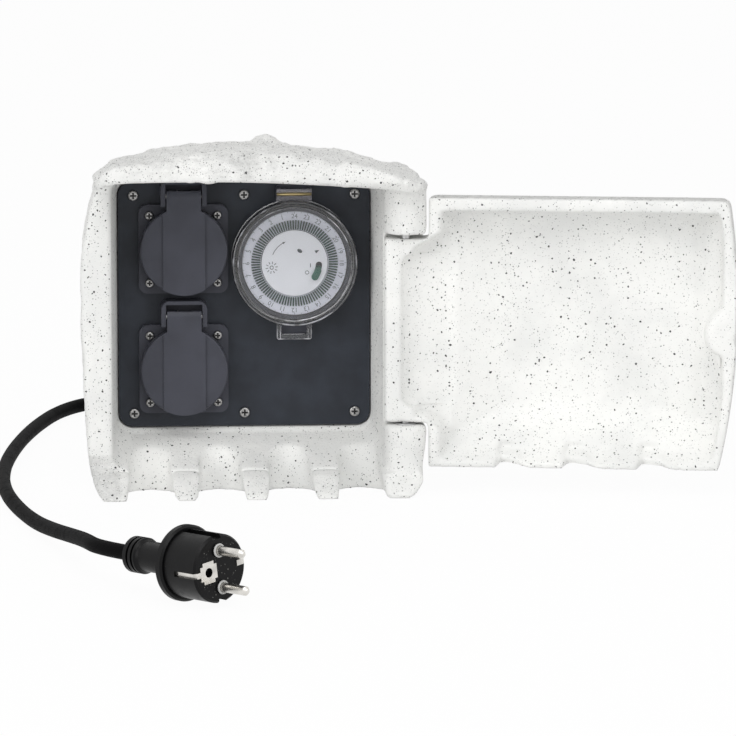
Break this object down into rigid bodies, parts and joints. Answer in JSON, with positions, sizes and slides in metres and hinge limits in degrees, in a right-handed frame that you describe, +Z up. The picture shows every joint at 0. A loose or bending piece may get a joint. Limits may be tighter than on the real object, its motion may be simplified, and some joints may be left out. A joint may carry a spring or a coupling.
{
  "type": "outdoor power strip with timer",
  "caption": "Garden socket box in a rock-look shell with a hinged door, earthed sockets under sprung lids, a mechanical timer and a rubber mains cord.",
  "frame": {"origin": "on the ground under the middle of the front panel", "axes": "+X to the right seen from the front, towards the open door; +Y to the back; +Z up"},
  "size_m": [0.4093, 0.6389, 0.1932],
  "materials": {
    "stone": "cast, stone effect",
    "panel": "fine texture",
    "socket_plastic": "satin",
    "screw_steel": "satin",
    "steel": "satin",
    "pin_nickel": "satin",
    "brass": "satin",
    "clear_cover": "clear",
    "dial_white": "satin",
    "gear_plastic": "satin",
    "tappet_green": "satin",
    "switch_green": "satin",
    "motor_metal": "satin",
    "switch_body": "satin",
    "box_plastic": "satin",
    "gland_plastic": "satin",
    "terminal_plastic": "satin",
    "wire_brown": "satin",
    "wire_green": "satin",
    "wire_blue": "satin",
    "seal_rubber": "matt",
    "cord_rubber": "matt",
    "plug_rubber": "matt",
    "plug_plastic": "satin",
    "tie_plastic": "satin"
  },
  "bodies": {
    "box": {"stone_body": "stone", "hinge_pin_top": "steel", "hinge_pin_bottom": "steel", "hinge_washer": "steel", "front_panel": "panel", "panel_gasket": "seal_rubber", "inner_box": "box_plastic", "panel_screws": "screw_steel", "box_screws": "screw_steel", "timer_housing": "socket_plastic", "dial_centre_plate": "dial_white", "timer_motor": "motor_metal", "microswitch": "switch_body", "cover_pin": "brass", "cover_seal": "seal_rubber", "terminal_block": "terminal_plastic", "wire_live": "wire_brown", "wire_earth": "wire_green", "wire_neutral": "wire_blue", "gland_body": "gland_plastic", "gland_nut": "gland_plastic", "gland_cap": "gland_plastic", "cord_sleeve": "cord_rubber", "cord_from_gland": "cord_rubber", "cord_coil": "cord_rubber", "coil_tie": "tie_plastic", "cord_to_plug": "cord_rubber", "plug_body": "plug_rubber", "plug_face": "plug_plastic", "plug_pins": "pin_nickel", "plug_earth_clips": "pin_nickel", "socket_flange_upper": "socket_plastic", "socket_insert_upper": "socket_plastic", "contact_sleeves_upper": "brass", "earth_clip_upper": "pin_nickel", "flange_screws_upper": "screw_steel", "lid_pin_upper": "steel", "lid_spring_upper": "steel", "socket_flange_lower": "socket_plastic", "socket_insert_lower": "socket_plastic", "contact_sleeves_lower": "brass", "earth_clip_lower": "pin_nickel", "flange_screws_lower": "screw_steel", "lid_pin_lower": "steel", "lid_spring_lower": "steel"},
    "door": {"stone_door": "stone"},
    "lid_upper": {"socket_lid_upper": "socket_plastic", "lid_seal_upper": "seal_rubber"},
    "lid_lower": {"socket_lid_lower": "socket_plastic", "lid_seal_lower": "seal_rubber"},
    "cover": {"timer_cover": "clear_cover"},
    "dial": {"dial_ring": "dial_white", "dial_gear": "gear_plastic", "switching_tappets": "tappet_green"},
    "pinion": {"drive_pinion": "gear_plastic"},
    "override": {"override_switch": "switch_green"}
  },
  "joints": [
    {"name": "door_hinge", "type": "hinge", "parent": "box", "child": "door", "pos_m": [0.0873, -0.039, 0.091], "axis": [0, 0, 1], "range_deg": [-171, 0]},
    {"name": "lid_hinge_upper", "type": "hinge", "parent": "box", "child": "lid_upper", "pos_m": [-0.0342, -0.002, 0.1622], "axis": [-1, 0, 0], "range_deg": [0, 95], "stiffness_Nm_per_rad": 0.008, "springref_deg": -34.38},
    {"name": "lid_hinge_lower", "type": "hinge", "parent": "box", "child": "lid_lower", "pos_m": [-0.0342, -0.002, 0.0944], "axis": [-1, 0, 0], "range_deg": [0, 95], "stiffness_Nm_per_rad": 0.008, "springref_deg": -34.38},
    {"name": "cover_hinge", "type": "hinge", "parent": "box", "child": "cover", "pos_m": [0.0277, 0.003, 0.1626], "axis": [-1, 0, 0], "range_deg": [0, 90]},
    {"name": "dial_spin", "type": "hinge", "parent": "box", "child": "dial", "pos_m": [0.0277, 0, 0.1241], "axis": [0, 1, 0], "continuous": true},
    {"name": "pinion_spin", "type": "hinge", "parent": "box", "child": "pinion", "pos_m": [0.0382, 0.005, 0.10591], "axis": [0, 1, 0], "continuous": true},
    {"name": "override_slide", "type": "hinge", "parent": "box", "child": "override", "pos_m": [0.0277, 0, 0.1241], "axis": [0, -1, 0], "range_deg": [0, 14]}
  ],
  "couplings": [
    {"joint": "pinion_spin", "follows": "dial_spin", "ratio": -6}
  ]
}
